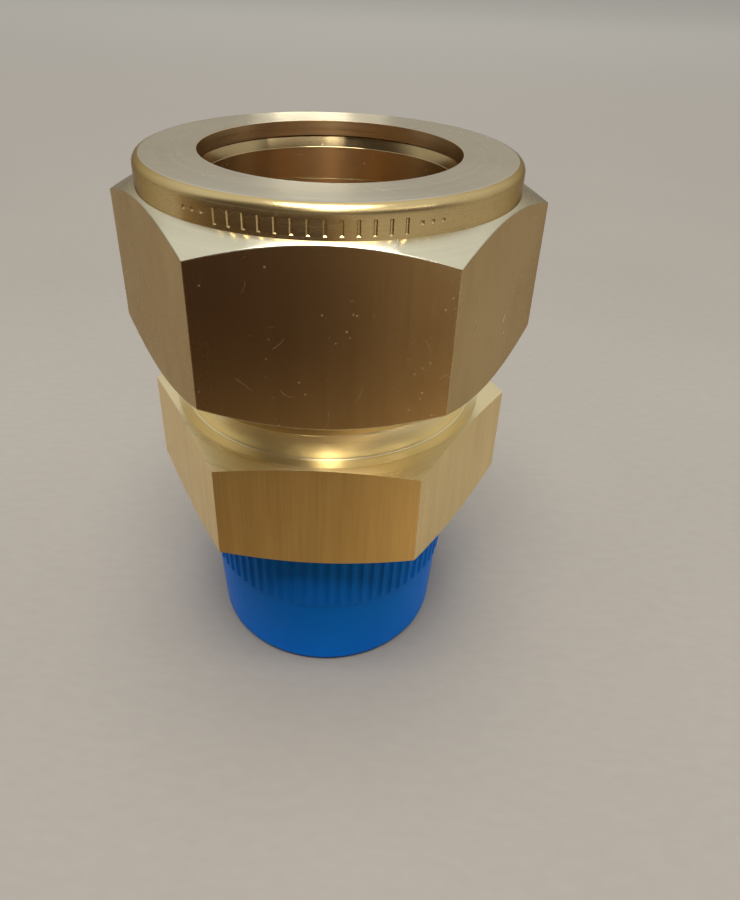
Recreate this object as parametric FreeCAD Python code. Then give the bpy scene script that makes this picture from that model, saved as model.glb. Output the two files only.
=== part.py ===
"""A brass male connector for 1 inch tube, with a 3/4 inch taper pipe thread under a push-on cap.

The fitting stands on its cap. Its axis is Z, and z = 0 is the underside of the cap. All sizes are in
millimetres. The two threads are plain turned surfaces at their crest, with the running gap of a thread.
"""

import math
import os

import FreeCAD
import Part

# The tube that the fitting is made for
tube_od = 25.4
socket_clearance = 0.08
nut_bore_clearance = 0.10

# Cap for the pipe thread
cap_floor = 0.9
cap_seat_gap = 0.05
cap_thread_gap = 0.08
cap_wall = 0.62
cap_wall_draft = 0.02
cap_foot_chamfer = 0.6
cap_lip_gap = 0.3
cap_rib_count = 72
cap_rib_width = 0.5
cap_rib_height = 0.26
cap_rib_foot = 10.0
cap_rib_root = 0.2

# Taper pipe thread, at its crest
pipe_end_radius = 13.015
pipe_taper = 1.0 / 32.0
pipe_thread_length = 18.95
pipe_end_chamfer = 1.0
passage_radius = 7.87

# Wall from the tube socket out to the crest of the compression thread
body_wall = 3.889

# Hexagon of the connector body: its flats stand out past the thread, at 1 3/8 in across
body_flat_step = 0.7935
body_hex_height = 12.25
body_top_face_setback = 0.41
body_top_chamfer_angle = 13.5
body_under_face_setback = 0.46
body_under_chamfer_angle = 20.0

# Neck and compression thread of the connector body
neck_depth = 0.869
neck_length = 2.75
thread_length = 11.1
thread_start_length = 0.6
thread_end_chamfer = 0.7
thread_running_gap = 0.05

# Tube socket and the mouth that the front ferrule seats in
socket_depth = 19.1
mouth_flare = 1.52
mouth_angle = 20.0

# Ferrules: each wall is measured out from their bore
ferrule_wall = 2.42
ferrule_nose_wall = 0.32
ferrule_seat_gap = 0.05
front_length = 10.0
front_recess_wall = 1.42
back_length = 4.6
back_stem_wall = 1.22
back_flange_rise = 0.5
back_top_wall = 0.37
back_top_land = 0.12
back_lead_depth = 1.1

# Nut: its wall is measured from the thread out to the flats, which are 1 1/2 in across
nut_wall = 2.331
nut_turned = 2.05
nut_height = 20.68
nut_land = 1.27
nut_chamber_gap = 0.3
nut_thread_depth = 11.0
nut_mouth_chamfer = 0.6
nut_under_face_setback = 0.75
nut_under_chamfer_angle = 32.4
nut_top_chamfer_angle = 29.3
collar_setback = 0.34
collar_height = 2.88
collar_edge_radius = 0.85

# How far a cutting or joining solid runs past the surface that it works on
overrun = 1.0


def slope(angle):
    """Return the rise for each millimetre of run of a line at an angle in degrees."""
    return math.tan(math.radians(angle))


# Radii that follow from the tube
socket_radius = tube_od / 2 + socket_clearance
nut_bore_radius = tube_od / 2 + nut_bore_clearance
mouth_radius = socket_radius + mouth_flare
ferrule_radius = socket_radius + ferrule_wall
ferrule_nose_radius = socket_radius + ferrule_nose_wall
front_recess_radius = socket_radius + front_recess_wall
back_stem_radius = socket_radius + back_stem_wall
back_top_radius = socket_radius + back_top_wall
thread_radius = socket_radius + body_wall
thread_wall_radius = thread_radius + thread_running_gap
neck_radius = thread_radius - neck_depth
nut_chamber_radius = ferrule_radius + nut_chamber_gap
body_hex_across_flats = 2 * (thread_radius + body_flat_step)
nut_hex_across_flats = 2 * (thread_wall_radius + nut_wall)
collar_radius = nut_hex_across_flats / 2 - collar_setback

# Places along the axis that follow from the sizes above
pipe_end_z = cap_floor + cap_seat_gap
hex_under_z = pipe_end_z + pipe_thread_length
hex_top_z = hex_under_z + body_hex_height
neck_top_z = hex_top_z + neck_length
body_top_z = neck_top_z + thread_length
cam = slope(mouth_angle)
cone_shift = ferrule_seat_gap * math.sqrt(2.0)
front_nose_z = body_top_z - (mouth_radius - ferrule_seat_gap - ferrule_nose_radius) / cam
front_shoulder_z = body_top_z + (ferrule_radius - mouth_radius + ferrule_seat_gap) / cam
front_rear_z = front_nose_z + front_length
back_nose_z = front_rear_z - (front_recess_radius - cone_shift - ferrule_nose_radius)
back_top_z = back_nose_z + back_length
nut_shoulder_z = back_top_z + back_top_radius + cone_shift - nut_bore_radius
nut_top_z = nut_shoulder_z + nut_land
nut_under_z = nut_top_z - nut_height


def vector(radius, z):
    """Return a point of a turned profile, which lies in the XZ plane."""
    return FreeCAD.Vector(radius, 0, z)


def turned(points):
    """Revolve the closed outline through (radius, z) points about Z."""
    corners = [vector(radius, z) for radius, z in points]
    face = Part.Face(Part.makePolygon(corners + corners[:1]))
    return face.revolve(FreeCAD.Vector(0, 0, 0), FreeCAD.Vector(0, 0, 1), 360)


def hexagon_bar(across_flats, low_z, high_z):
    """Return a hexagon bar with one flat facing -Y."""
    corner_radius = across_flats / math.sqrt(3.0)
    corners = []
    for index in range(6):
        angle = math.radians(60 * index)
        corners.append(FreeCAD.Vector(corner_radius * math.cos(angle), corner_radius * math.sin(angle), low_z))
    face = Part.Face(Part.makePolygon(corners + corners[:1]))
    return face.extrude(FreeCAD.Vector(0, 0, high_z - low_z))


def chamfered_hexagon(across_flats, low_z, high_z, low_face_radius, low_angle, high_face_radius, high_angle):
    """Return a hexagon whose corners are turned off at both ends, as on a lathe."""
    rim_radius = across_flats / math.sqrt(3.0) + overrun
    low_rim_z = low_z + (rim_radius - low_face_radius) * slope(low_angle)
    high_rim_z = high_z - (rim_radius - high_face_radius) * slope(high_angle)
    barrel = turned(
        [
            (0, low_z),
            (low_face_radius, low_z),
            (rim_radius, low_rim_z),
            (rim_radius, high_rim_z),
            (high_face_radius, high_z),
            (0, high_z),
        ]
    )
    return barrel.common(hexagon_bar(across_flats, low_z - overrun, high_z + overrun))


def pipe_crest_radius(z):
    """Return the crest radius of the pipe thread at a height."""
    return pipe_end_radius + (z - pipe_end_z) * pipe_taper


def make_connector_body():
    """Return the body: pipe thread, hexagon, neck, compression thread, tube socket and passage."""
    shank = turned(
        [
            (0, pipe_end_z),
            (pipe_end_radius - pipe_end_chamfer, pipe_end_z),
            (pipe_crest_radius(pipe_end_z + pipe_end_chamfer), pipe_end_z + pipe_end_chamfer),
            (pipe_crest_radius(hex_under_z), hex_under_z),
            (pipe_crest_radius(hex_under_z), hex_under_z + overrun),
            (neck_radius, hex_under_z + overrun),
            (neck_radius, neck_top_z),
            (thread_radius, neck_top_z + thread_start_length),
            (thread_radius, body_top_z - thread_end_chamfer),
            (thread_radius - thread_end_chamfer, body_top_z),
            (0, body_top_z),
        ]
    )
    hexagon = chamfered_hexagon(
        body_hex_across_flats,
        hex_under_z,
        hex_top_z,
        body_hex_across_flats / 2 - body_under_face_setback,
        body_under_chamfer_angle,
        body_hex_across_flats / 2 - body_top_face_setback,
        body_top_chamfer_angle,
    )
    socket_floor_z = body_top_z - socket_depth
    mouth_foot_z = body_top_z - (mouth_radius - socket_radius) / cam
    bore = turned(
        [
            (0, pipe_end_z - overrun),
            (passage_radius, pipe_end_z - overrun),
            (passage_radius, socket_floor_z),
            (socket_radius, socket_floor_z),
            (socket_radius, mouth_foot_z),
            (mouth_radius + overrun * cam, body_top_z + overrun),
            (0, body_top_z + overrun),
        ]
    )
    return shank.fuse(hexagon).cut(bore).removeSplitter()


def make_front_ferrule():
    """Return the front ferrule: a cone that seats in the body's mouth, with a recess behind."""
    recess_floor_z = front_rear_z - (front_recess_radius - socket_radius)
    return turned(
        [
            (socket_radius, front_nose_z),
            (ferrule_nose_radius, front_nose_z),
            (ferrule_radius, front_shoulder_z),
            (ferrule_radius, front_rear_z),
            (front_recess_radius, front_rear_z),
            (socket_radius, recess_floor_z),
        ]
    )


def make_back_ferrule():
    """Return the back ferrule: a nose in the front one's recess, a flange and a cone under the nut."""
    stem_foot_z = back_nose_z + (back_stem_radius - ferrule_nose_radius)
    flange_foot_z = front_rear_z + back_flange_rise
    flange_shoulder_z = back_top_z - (ferrule_radius - back_top_radius)
    return turned(
        [
            (socket_radius, back_nose_z),
            (ferrule_nose_radius, back_nose_z),
            (back_stem_radius, stem_foot_z),
            (back_stem_radius, flange_foot_z),
            (ferrule_radius, flange_foot_z),
            (ferrule_radius, flange_shoulder_z),
            (back_top_radius, back_top_z),
            (back_top_radius - back_top_land, back_top_z),
            (socket_radius, back_top_z - back_lead_depth),
        ]
    )


def make_collar():
    """Return the nut's round collar. Its upper edge is rounded, turned as two short cones on the arc."""
    foot_z = nut_top_z - collar_height - overrun
    middle = collar_edge_radius * (1 - math.sqrt(0.5))
    return turned(
        [
            (0, foot_z),
            (collar_radius, foot_z),
            (collar_radius, nut_top_z - collar_edge_radius),
            (collar_radius - middle, nut_top_z - middle),
            (collar_radius - collar_edge_radius, nut_top_z),
            (0, nut_top_z),
        ]
    )


def make_tube_nut():
    """Return the nut: collar, chamfered hexagon, thread, ferrule chamber and driving shoulder."""
    hexagon = chamfered_hexagon(
        nut_hex_across_flats,
        nut_under_z,
        nut_top_z - collar_height,
        nut_hex_across_flats / 2 - nut_under_face_setback,
        nut_under_chamfer_angle,
        collar_radius,
        nut_top_chamfer_angle,
    )
    thread_top_z = nut_under_z + nut_thread_depth
    chamber_top_z = nut_shoulder_z - (nut_chamber_radius - nut_bore_radius)
    bore = turned(
        [
            (0, nut_under_z - overrun),
            (thread_wall_radius + nut_mouth_chamfer + overrun, nut_under_z - overrun),
            (thread_wall_radius, nut_under_z + nut_mouth_chamfer),
            (thread_wall_radius, thread_top_z),
            (nut_chamber_radius, thread_top_z),
            (nut_chamber_radius, chamber_top_z),
            (nut_bore_radius, nut_shoulder_z),
            (nut_bore_radius, nut_top_z + overrun),
            (0, nut_top_z + overrun),
        ]
    )
    nut = make_collar().fuse(hexagon).cut(bore).removeSplitter()
    nut.rotate(FreeCAD.Vector(0, 0, 0), FreeCAD.Vector(0, 0, 1), nut_turned)
    return nut


def cap_inner_radius(z):
    """Return the radius of the cap's inside, which follows the pipe thread."""
    return pipe_crest_radius(z) + cap_thread_gap


def cap_outer_radius(z):
    """Return the radius of the cap's wall outside, between the ribs."""
    return cap_inner_radius(z) + cap_wall + cap_wall_draft * z


def make_cap_rib(lip_z):
    """Return one upright rib, rising from a sloped foot to the cap's lip."""
    shoulder_z = cap_rib_foot + cap_rib_height
    side = [
        (cap_outer_radius(cap_rib_foot) - cap_rib_root, cap_rib_foot),
        (cap_outer_radius(cap_rib_foot), cap_rib_foot),
        (cap_outer_radius(shoulder_z) + cap_rib_height, shoulder_z),
        (cap_outer_radius(lip_z) + cap_rib_height, lip_z),
        (cap_outer_radius(lip_z) - cap_rib_root, lip_z),
    ]
    corners = [FreeCAD.Vector(radius, -cap_rib_width / 2, z) for radius, z in side]
    face = Part.Face(Part.makePolygon(corners + corners[:1]))
    return face.extrude(FreeCAD.Vector(0, cap_rib_width, 0))


def make_thread_cap():
    """Return the moulded cap: a thin tapered cup with a ring of upright grip ribs."""
    lip_z = hex_under_z - cap_lip_gap
    cup = turned(
        [
            (0, 0),
            (cap_outer_radius(0) - cap_foot_chamfer, 0),
            (cap_outer_radius(cap_foot_chamfer), cap_foot_chamfer),
            (cap_outer_radius(lip_z), lip_z),
            (0, lip_z),
        ]
    )
    ribs = []
    for index in range(cap_rib_count):
        rib = make_cap_rib(lip_z)
        rib.rotate(FreeCAD.Vector(0, 0, 0), FreeCAD.Vector(0, 0, 1), 360.0 * index / cap_rib_count)
        ribs.append(rib)
    inside = turned(
        [
            (0, cap_floor),
            (cap_inner_radius(cap_floor), cap_floor),
            (cap_inner_radius(lip_z + overrun), lip_z + overrun),
            (0, lip_z + overrun),
        ]
    )
    return cup.fuse(ribs).cut(inside).removeSplitter()


def save(name, shape):
    """Write one piece as a STEP file, as a single solid."""
    solid = shape.Solids[0] if len(shape.Solids) == 1 else shape
    solid.exportStep(os.path.join("parts", name + ".step"))
    box = solid.BoundBox
    print(f"{name}: {len(shape.Solids)} solid, {shape.Volume:.1f} mm3, z {box.ZMin:.2f} to {box.ZMax:.2f}")


def main():
    """Build and save every piece of the fitting."""
    os.makedirs("parts", exist_ok=True)
    save("connector_body", make_connector_body())
    save("front_ferrule", make_front_ferrule())
    save("back_ferrule", make_back_ferrule())
    save("tube_nut", make_tube_nut())
    save("thread_cap", make_thread_cap())


main()
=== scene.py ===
"""The looks of a brass connector for tube: hexagon nut, ferrules, hexagon body and a blue thread cap.

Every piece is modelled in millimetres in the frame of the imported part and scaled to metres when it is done.
The axis of the fitting is Z, and z = 0 is the underside of the cap that it stands on.
"""

from __future__ import annotations

import logging
import math
from dataclasses import dataclass, replace
from enum import Enum
from typing import Callable, Optional, Sequence, Union

import bmesh
import bpy
from mathutils import Matrix, Vector


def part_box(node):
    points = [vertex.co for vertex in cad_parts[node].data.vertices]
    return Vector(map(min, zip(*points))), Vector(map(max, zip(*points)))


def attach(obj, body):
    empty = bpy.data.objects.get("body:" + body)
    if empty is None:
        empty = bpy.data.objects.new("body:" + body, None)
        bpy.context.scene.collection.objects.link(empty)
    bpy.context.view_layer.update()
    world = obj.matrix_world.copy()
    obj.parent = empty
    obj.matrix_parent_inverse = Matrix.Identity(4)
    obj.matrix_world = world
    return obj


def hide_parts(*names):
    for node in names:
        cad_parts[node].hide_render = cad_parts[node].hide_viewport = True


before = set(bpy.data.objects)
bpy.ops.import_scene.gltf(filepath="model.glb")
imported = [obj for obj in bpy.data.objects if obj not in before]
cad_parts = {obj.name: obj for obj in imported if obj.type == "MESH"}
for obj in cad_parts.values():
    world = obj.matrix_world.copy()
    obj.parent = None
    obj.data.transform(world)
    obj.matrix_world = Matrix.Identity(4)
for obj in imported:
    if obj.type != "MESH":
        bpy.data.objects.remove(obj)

MM = 0.001
MERGE_DISTANCE = 1e-4
RIM_TOLERANCE = 10 * MERGE_DISTANCE
SPIN_TOLERANCE = 0.004
NEAR = 0.02
INWARD = -0.3
AXIS = (0.0, 0.0, 1.0)
ORIGIN = (0.0, 0.0, 0.0)

log = logging.getLogger("fitting")

Colour = tuple[float, float, float]
Place = tuple[float, float, float]
Pair = tuple[float, float]
Mesh = bmesh.types.BMesh
Vert = bmesh.types.BMVert
Edge = bmesh.types.BMEdge
Face = bmesh.types.BMFace


def millimetres(node: str) -> tuple[Vector, Vector]:
    """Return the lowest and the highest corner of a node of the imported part, in millimetres."""
    low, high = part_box(node)
    return low / MM, high / MM


# Shader maths


def operator(operation: str, swapped: bool = False) -> Callable[["Signal", "Value"], "Signal"]:
    """Make one of Python's operators out of a Math node.

    Args:
        operation: the node's operation.
        swapped: whether the signal is the second of the two values.

    Returns:
        The operator's method.
    """

    def method(self: "Signal", other: "Value") -> "Signal":
        """Add the Math node."""
        first, second = (other, self) if swapped else (self, other)
        return self.painter.node("ShaderNodeMath", {"operation": operation}, {0: first, 1: second})

    return method


class Signal:
    """A number that a node gives. Python's operators on it add Math nodes."""

    def __init__(self, painter: "Painter", socket: bpy.types.NodeSocket) -> None:
        """Wrap one output socket."""
        self.painter = painter
        self.socket = socket

    __add__ = operator("ADD")
    __radd__ = operator("ADD", swapped=True)
    __sub__ = operator("SUBTRACT")
    __rsub__ = operator("SUBTRACT", swapped=True)
    __mul__ = operator("MULTIPLY")
    __pow__ = operator("POWER")

    def step(self, low: float, high: float) -> "Signal":
        """Rise smoothly from 0 at the low value to 1 at the high one."""
        inputs = {"Value": self, "From Min": low, "From Max": high}
        return self.painter.node("ShaderNodeMapRange", {"interpolation_type": "SMOOTHSTEP"}, inputs)


Value = Union[Signal, float, int, Sequence[float]]


@dataclass(frozen=True)
class Layer:
    """One layer of smooth noise around 0.5.

    The scale is the number of features in each metre, along X, Y and Z, and the detail is the number of
    octaves. The fade holds the two noise values between which the patches made from it rise from 0 to 1.
    """

    scale: tuple[float, float, float]
    shift: tuple[float, float, float] = ORIGIN
    detail: float = 2.0
    roughness: float = 0.5
    fade: Pair = (0.0, 1.0)


class Painter:
    """Adds nodes to one node tree and links them."""

    MIX_FACTOR = 0
    MIX_A = 6
    MIX_B = 7
    MIX_RESULT = 2
    SPECK_CORE = 0.4

    def __init__(self, tree: bpy.types.NodeTree) -> None:
        """Start on an empty tree."""
        self.tree = tree
        tree.nodes.clear()

    def node(
        self,
        kind: str,
        settings: Optional[dict[str, object]] = None,
        inputs: Optional[dict[Union[int, str], Value]] = None,
        output: Union[int, str] = 0,
    ) -> Signal:
        """Add one node.

        Args:
            kind: the node's type.
            settings: its properties.
            inputs: values or links of its sockets, by name or index. A colour has three numbers.
            output: the output socket to return.

        Returns:
            The chosen output.
        """
        node = self.tree.nodes.new(kind)
        for name, value in (settings or {}).items():
            setattr(node, name, value)
        for key, value in (inputs or {}).items():
            socket = node.inputs[key]
            if isinstance(value, Signal):
                self.tree.links.new(value.socket, socket)
            else:
                socket.default_value = (*value, 1.0) if socket.type == "RGBA" else value
        return Signal(self, node.outputs[output])

    def show(self, shader: Signal, output: str = "ShaderNodeOutputMaterial") -> None:
        """Link a shader to a new output node."""
        self.tree.links.new(shader.socket, self.tree.nodes.new(output).inputs["Surface"])

    def coat(self, inputs: dict[str, Value]) -> None:
        """Show a Principled surface with these inputs."""
        self.show(self.node("ShaderNodeBsdfPrincipled", inputs=inputs))

    def mix(self, factor: Value, first: Value, second: Value, blend: str = "MIX") -> Signal:
        """Mix two colours.

        Args:
            factor: the share of the second colour.
            first: the first colour.
            second: the second colour.
            blend: the Mix node's blend type.

        Returns:
            The mixed colour.
        """
        settings = {"data_type": "RGBA", "blend_type": blend, "clamp_factor": True}
        inputs = {self.MIX_FACTOR: factor, self.MIX_A: first, self.MIX_B: second}
        return self.node("ShaderNodeMix", settings, inputs, self.MIX_RESULT)

    def shaded(self, colour: Signal, shade: Signal) -> Signal:
        """Return a colour multiplied by a number."""
        return self.mix(1.0, colour, self.joined(shade, shade, shade), "MULTIPLY")

    def place(self) -> Signal:
        """Return the point in the object's own coordinates, in metres."""
        return self.node("ShaderNodeTexCoord", output="Object")

    def scaled(self, place: Signal, scale: Sequence[float], shift: Sequence[float] = ORIGIN) -> Signal:
        """Multiply coordinates by a scale and add a shift."""
        stretched = self.node("ShaderNodeVectorMath", {"operation": "MULTIPLY"}, {0: place, 1: scale})
        return self.sum(stretched, shift)

    def sum(self, first: Signal, second: Value) -> Signal:
        """Return the sum of two vectors."""
        return self.node("ShaderNodeVectorMath", {"operation": "ADD"}, {0: first, 1: second})

    def noise(self, place: Signal, scale: float = 1.0, detail: float = 2.0, roughness: float = 0.5) -> Signal:
        """Return smooth noise around 0.5, with its features in each unit and its octaves."""
        inputs = {"Vector": place, "Scale": scale, "Detail": detail, "Roughness": roughness}
        return self.node("ShaderNodeTexNoise", {"noise_dimensions": "3D"}, inputs, "Fac")

    def layer(self, place: Signal, layer: Layer) -> Signal:
        """Return the noise of a layer at a place."""
        stretched = self.scaled(place, layer.scale, layer.shift)
        return self.noise(stretched, detail=layer.detail, roughness=layer.roughness)

    def patches(self, place: Signal, layer: Layer) -> Signal:
        """Return the patches of a layer, from 0 to 1."""
        return self.layer(place, layer).step(*layer.fade)

    def specks(self, place: Signal, scale: float, size: float) -> Signal:
        """Draw sparse round marks.

        Args:
            place: the coordinates.
            scale: cells for each unit.
            size: the marks' radius as a share of a cell.

        Returns:
            The marks, 1 in their middle.
        """
        inputs = {"Vector": place, "Scale": scale}
        distance = self.node("ShaderNodeTexVoronoi", {"feature": "F1"}, inputs, "Distance")
        return 1.0 - distance.step(self.SPECK_CORE * size, size)

    def parts(self, vector: Signal) -> list[Signal]:
        """Return the three numbers of a vector."""
        return [self.node("ShaderNodeSeparateXYZ", inputs={0: vector}, output=index) for index in range(3)]

    def around(self, place: Signal) -> tuple[Signal, Signal]:
        """Return a point's distance from the axis and its height, in metres."""
        x, y, z = self.parts(place)
        return (x * x + y * y) ** 0.5, z

    def joined(self, x: Value, y: Value, z: Value) -> Signal:
        """Return a vector made of three numbers."""
        return self.node("ShaderNodeCombineXYZ", inputs={0: x, 1: y, 2: z})

    def bump(self, height: Signal, depth: float) -> Signal:
        """Return the normal of a surface with relief, where a height of 1 is the depth in metres."""
        return self.node("ShaderNodeBump", inputs={"Strength": 1.0, "Distance": depth, "Height": height})


def new_material(name: str) -> tuple[bpy.types.Material, Painter]:
    """Make a material with an empty node tree.

    Args:
        name: its name.

    Returns:
        The material and the painter of its tree.
    """
    material = bpy.data.materials.new(name)
    material.use_nodes = True
    return material, Painter(material.node_tree)


# Finishes


BLOTCHES = Layer((95.0, 95.0, 60.0), detail=5.0, roughness=0.62, fade=(0.35, 0.72))
SPOTS = Layer((700.0, 700.0, 500.0), (3.1, 1.7, 0.4), 3.0, fade=(0.62, 0.8))
FINE_DRAWING = Layer((5200.0, 5200.0, 110.0), (0.5, 2.0, 7.0))
FINE_TURNING = Layer((4.0, 4.0, 1.5), (1.3, 0.2, 5.0), 1.0)
NICK_PATCHES = Layer((240.0, 240.0, 240.0), (9.0, 4.0, 2.0), 1.0, fade=(0.55, 0.64))
SCRATCH_PATCHES = Layer((420.0, 420.0, 420.0), (2.0, 8.0, 5.0), 0.0, fade=(0.63, 0.7))
MOTTLE = Layer((120.0, 120.0, 80.0), detail=4.0, fade=(0.35, 0.75))
SCUFFS = Layer((900.0, 900.0, 300.0), (1.0, 3.0, 2.0), 3.0, fade=(0.62, 0.8))
WIDE_SCUFF_FADE = (0.55, 0.8)
CLOUDS = Layer((14.0, 14.0, 14.0), detail=4.0)
FIBRES = Layer((420.0, 900.0, 420.0), detail=3.0)

LINES_ALONG = 40.0
LINE_OCTAVES = 3.0
LINE_ROUGHNESS = 0.65
RINGS = 2600.0
RING_DRIFT = (45.0, 45.0, 45.0)
RING_ROUGHNESS = 0.6
WIDE_SHARE = 0.6
NICK_CELLS = 1250.0
NICK_SIZE = 0.17
SCRATCH_SCALE = (330.0, 330.0, 210.0)
SCRATCH_SLANT = (60.0, 90.0, 140.0)
SCRATCH_DENSITY = 0.8
SCRATCH_WIDTH = 0.0000035
SPOT_SHARE = 0.35
BLOTCH_ROUGHNESS = 0.12
LINE_RELIEF = 0.8
BLOTCH_RELIEF = 0.5
NICK_RELIEF = -1.2
SCRATCH_RELIEF = -0.6
TURNED_ROTATION = 0.25


class Grain(Enum):
    """How a brass surface was cut."""

    DRAWN = "pulled through a die, with lines along the bar"
    TURNED = "cut on a lathe, with fine rings about the axis"


@dataclass(frozen=True)
class BrassFinish:
    """One kind of brass surface.

    The colour is what the metal reflects where it is clean, and the tone is what it reflects where it has
    darkened.
    """

    name: str
    colour: Colour
    tone: Colour
    grain: Grain
    roughness: float = 0.3
    anisotropy: float = 0.6
    tone_share: float = 0.35
    line_depth: float = 0.0015
    line_strength: float = 0.25
    line_density: float = 1500.0
    line_roughness: float = 0.16
    speck_share: float = 0.3
    mark_roughness: float = 0.2
    nick_colour: Colour = (1.0, 0.93, 0.74)
    edge_tint: Colour = (0.72, 0.66, 0.56)

    def material(self) -> bpy.types.Material:
        """Build the material.

        Returns:
            A metal with tone, cutting lines, specks and small relief.
        """
        material, paint = new_material(self.name)
        place = paint.place()
        lines = self._lines(paint, place)
        blotches = paint.layer(place, BLOTCHES)
        tone = blotches.step(*BLOTCHES.fade) + paint.patches(place, SPOTS) * SPOT_SHARE
        colour = paint.mix(tone * self.tone_share, self.colour, self.tone)
        colour = paint.shaded(colour, 1.0 + (lines - 0.5) * self.line_strength)
        nicks, scratches = self._marks(paint, place)
        marks = nicks + scratches
        rough = self.roughness + (lines - 0.5) * self.line_roughness + (blotches - 0.5) * BLOTCH_ROUGHNESS
        relief = lines * LINE_RELIEF + blotches * BLOTCH_RELIEF
        relief = relief + nicks * NICK_RELIEF + scratches * SCRATCH_RELIEF
        paint.coat(
            {
                "Base Color": paint.mix(marks * self.speck_share, colour, self.nick_colour),
                "Metallic": 1.0,
                "Roughness": rough + marks * self.mark_roughness,
                "Normal": paint.bump(relief, self.line_depth * MM),
                "Specular Tint": self.edge_tint,
                "Anisotropic": self.anisotropy,
                "Anisotropic Rotation": TURNED_ROTATION if self.grain is Grain.TURNED else 0.0,
            }
        )
        return material

    def _lines(self, paint: Painter, place: Signal) -> Signal:
        """Draw the lines that the tool left.

        Args:
            paint: the tree's painter.
            place: object coordinates.

        Returns:
            The lines, around 0.5.
        """
        if self.grain is Grain.DRAWN:
            lengths = paint.scaled(place, (self.line_density, self.line_density, LINES_ALONG))
            wide = paint.noise(lengths, detail=LINE_OCTAVES, roughness=LINE_ROUGHNESS)
            fine = paint.layer(place, FINE_DRAWING)
        else:
            radius, height = paint.around(place)
            rings = paint.joined(radius * RINGS, height * RINGS, 0.0)
            turns = paint.sum(rings, paint.scaled(place, RING_DRIFT))
            wide = paint.noise(turns, roughness=RING_ROUGHNESS)
            fine = paint.layer(turns, FINE_TURNING)
        return wide * WIDE_SHARE + fine * (1.0 - WIDE_SHARE)

    def _marks(self, paint: Painter, place: Signal) -> tuple[Signal, Signal]:
        """Draw small dents and hair scratches.

        Args:
            paint: the tree's painter.
            place: object coordinates.

        Returns:
            The dents and the scratches, each from 0 to 1.
        """
        nicks = paint.specks(place, NICK_CELLS, NICK_SIZE) * paint.patches(place, NICK_PATCHES)
        slanted = paint.sum(paint.scaled(place, SCRATCH_SCALE), paint.scaled(place, SCRATCH_SLANT))
        band = paint.noise(slanted, SCRATCH_DENSITY, 0.0) - 0.5
        thin = 1.0 - (band * band).step(0.0, SCRATCH_WIDTH)
        return nicks, thin * paint.patches(place, SCRATCH_PATCHES)


@dataclass(frozen=True)
class PlasticFinish:
    """Coloured moulded polyethylene, soft to the touch and a little glossy."""

    name: str = "cap_polyethylene"
    colour: Colour = (0.0, 0.195, 0.85)
    worn: Colour = (0.0, 0.23, 0.94)
    roughness: float = 0.36
    mottle_wear: float = 0.5
    scuff_wear: float = 0.3
    mottle_roughness: float = 0.15
    scuff_roughness: float = 0.1
    scuff_relief: float = 0.5
    relief: float = 0.02
    ior: float = 1.51
    gloss: float = 0.05

    def material(self) -> bpy.types.Material:
        """Build the material.

        Returns:
            A plastic with slight mottling and handling marks.
        """
        material, paint = new_material(self.name)
        place = paint.place()
        mottle = paint.layer(place, MOTTLE)
        scuffs = paint.layer(place, SCUFFS)
        wear = mottle.step(*MOTTLE.fade) * self.mottle_wear + scuffs.step(*SCUFFS.fade) * self.scuff_wear
        rough = self.roughness + (mottle - 0.5) * self.mottle_roughness
        rough = rough + scuffs.step(*WIDE_SCUFF_FADE) * self.scuff_roughness
        paint.coat(
            {
                "Base Color": paint.mix(wear, self.colour, self.worn),
                "Roughness": rough,
                "Normal": paint.bump(scuffs * self.scuff_relief + mottle, self.relief * MM),
                "IOR": self.ior,
                "Specular IOR Level": self.gloss,
            }
        )
        return material


# Painted shade: the first tint darkens reflections at grazing angles, shading the far sides of the nut's
# chamfer and collar.
GRAZING_SHADE_TINT = (0.45, 0.40, 0.34)
CLEAN_EDGE = (1.0, 0.97, 0.90)

NUT_FLAT = BrassFinish(
    "nut_drawn_flat",
    (0.64, 0.48, 0.255),
    (0.47, 0.33, 0.16),
    Grain.DRAWN,
    0.26,
    0.4,
    0.6,
    line_depth=0.0006,
    line_roughness=0.03,
    speck_share=0.5,
    mark_roughness=0.35,
)
NUT_EDGE = BrassFinish("nut_worn_edge", (0.62, 0.48, 0.26), (0.42, 0.30, 0.15), Grain.DRAWN, 0.30, 0.3, 0.6)
# Partly painted light: the chamfer is the nut's brass, painted paler and greyer for the bright overhead light
# it reflects.
NUT_CHAMFER = BrassFinish(
    "nut_turned_chamfer",
    (0.82, 0.77, 0.585),
    (0.70, 0.625, 0.43),
    Grain.TURNED,
    0.24,
    0.5,
    0.3,
    edge_tint=GRAZING_SHADE_TINT,
)
NUT_COLLAR = BrassFinish(
    "nut_turned_collar", (0.74, 0.57, 0.28), (0.54, 0.39, 0.17), Grain.TURNED, 0.26, 0.6, edge_tint=GRAZING_SHADE_TINT
)
# Partly painted light: the top face is the nut's brass, painted near grey for the pale light it reflects at a
# low angle.
NUT_FACE = BrassFinish(
    "nut_turned_face", (0.80, 0.77, 0.69), (0.64, 0.60, 0.50), Grain.TURNED, 0.20, 0.3, 0.6
)
NUT_BORE = BrassFinish(
    "nut_turned_bore", (0.66, 0.46, 0.24), (0.50, 0.33, 0.16), Grain.TURNED, 0.30, 0.8, speck_share=0.08
)
BODY_FLAT = BrassFinish(
    "body_drawn_flat",
    (0.86, 0.67, 0.33),
    (0.73, 0.52, 0.22),
    Grain.DRAWN,
    0.30,
    0.4,
    line_strength=0.55,
    line_density=700.0,
    edge_tint=CLEAN_EDGE,
)
BODY_TURNED = BrassFinish(
    "body_turned", (0.97, 0.84, 0.52), (0.86, 0.69, 0.37), Grain.TURNED, 0.30, 0.7, 0.25, edge_tint=CLEAN_EDGE
)
BODY_BORE = BrassFinish(
    "body_turned_bore", (0.76, 0.54, 0.28), (0.58, 0.38, 0.18), Grain.TURNED, 0.30, 0.8, speck_share=0.08
)
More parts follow.
